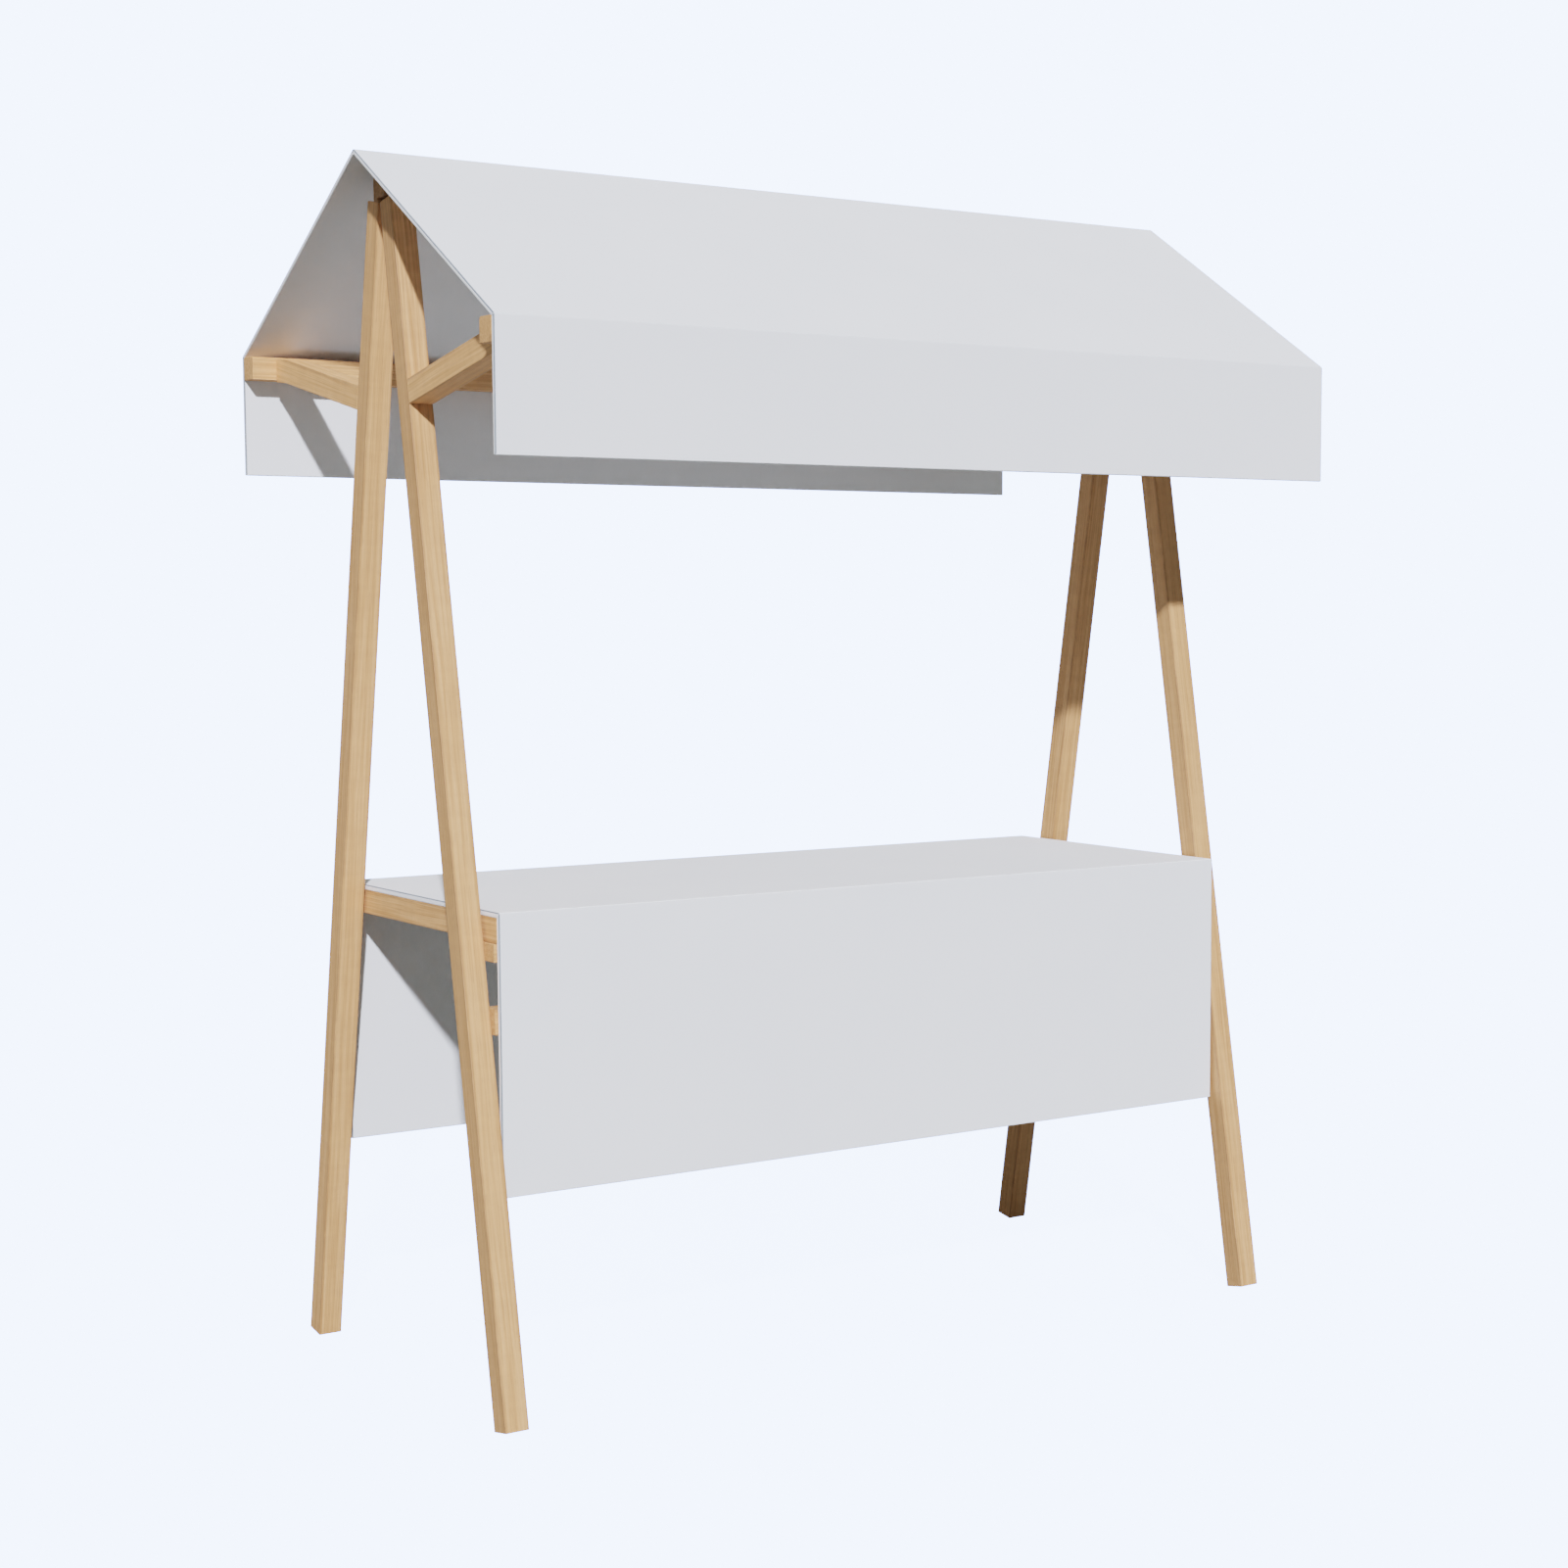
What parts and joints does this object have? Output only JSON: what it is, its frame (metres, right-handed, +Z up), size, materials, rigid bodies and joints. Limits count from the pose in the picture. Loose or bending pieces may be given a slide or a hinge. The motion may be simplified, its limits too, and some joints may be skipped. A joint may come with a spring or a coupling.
{
  "type": "folding vending cart",
  "caption": "Folding vending cart: oak A-frames with outstretched arms under a white saddle roof with valances, and a counter with deep skirts between the legs.",
  "frame": {"origin": "on the ground under the middle of the cart", "axes": "+X along the counter, +Y from the customer's side to the back, +Z up"},
  "size_m": [1.824, 1.092, 2.2337],
  "materials": {
    "oak": "clear satin oil",
    "white_board": "matte",
    "hinge_steel": "dark satin"
  },
  "bodies": {
    "back_half": {"back_leg_left": "oak", "back_leg_right": "oak", "back_arm_left": "oak", "back_arm_right": "oak", "back_eave_rail": "oak", "ridge_beam": "oak", "counter_end_rail_left": "oak", "counter_end_rail_right": "oak", "counter_spacer_left": "oak", "counter_spacer_right": "oak", "roof_board_back": "white_board", "valance_back": "white_board", "counter_top": "white_board", "skirt_front": "white_board", "skirt_back": "white_board", "hinge_leaf_back_left": "hinge_steel", "hinge_leaf_back_right": "hinge_steel"},
    "front_half": {"front_leg_left": "oak", "front_leg_right": "oak", "front_arm_left": "oak", "front_arm_right": "oak", "front_eave_rail": "oak", "front_bearer": "oak", "skirt_batten": "oak", "roof_board_front": "white_board", "valance_front": "white_board", "hinge_leaf_front_left": "hinge_steel", "hinge_leaf_front_right": "hinge_steel"}
  },
  "joints": [
    {"name": "frame_fold", "type": "hinge", "parent": "back_half", "child": "front_half", "pos_m": [0, 0, 2.148], "axis": [1, 0, 0], "range_deg": [0, 20]}
  ]
}
